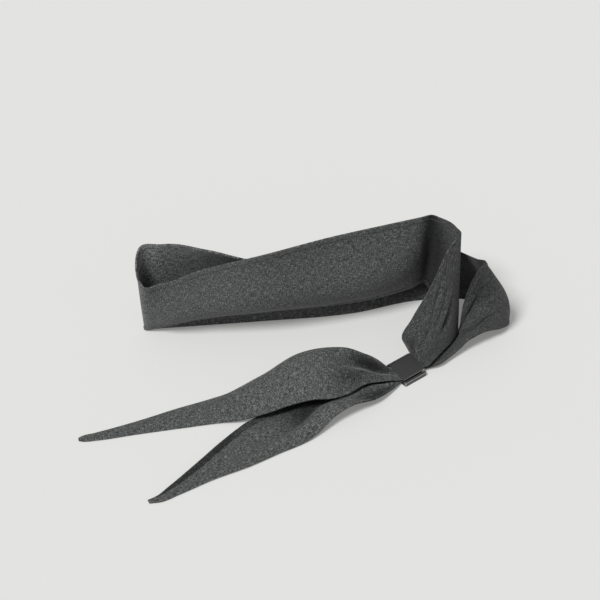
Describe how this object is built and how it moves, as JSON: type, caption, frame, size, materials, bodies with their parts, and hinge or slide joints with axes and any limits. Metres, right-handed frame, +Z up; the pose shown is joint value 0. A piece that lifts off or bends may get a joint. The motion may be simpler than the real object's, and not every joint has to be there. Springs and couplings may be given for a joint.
{
  "type": "necktie with slide",
  "caption": "Woven neck strip with pointed tails, gathered through a small flat metal slide, laid out with its neck loop standing on edge.",
  "frame": {"origin": "middle of the slide's flat underside, on the surface that the tie lies on", "axes": "+Z up; +X along the long bands of the neck loop, from its closed left turn towards the slide's side; +Y away from the tails, towards the back of the neck loop"},
  "size_m": [0.3444, 0.2451, 0.1],
  "materials": {
    "cloth": "plain weave of mixed dark and light grey yarns, matt",
    "slide_coat": "smooth black coating, satin",
    "slide_metal": "bare bright metal edge"
  },
  "bodies": {
    "root": {"neck_loop": "cloth", "tail_upper": "cloth", "tail_lower": "cloth", "slide_cover": "slide_coat", "slide_lip": "slide_metal"}
  },
  "joints": []
}
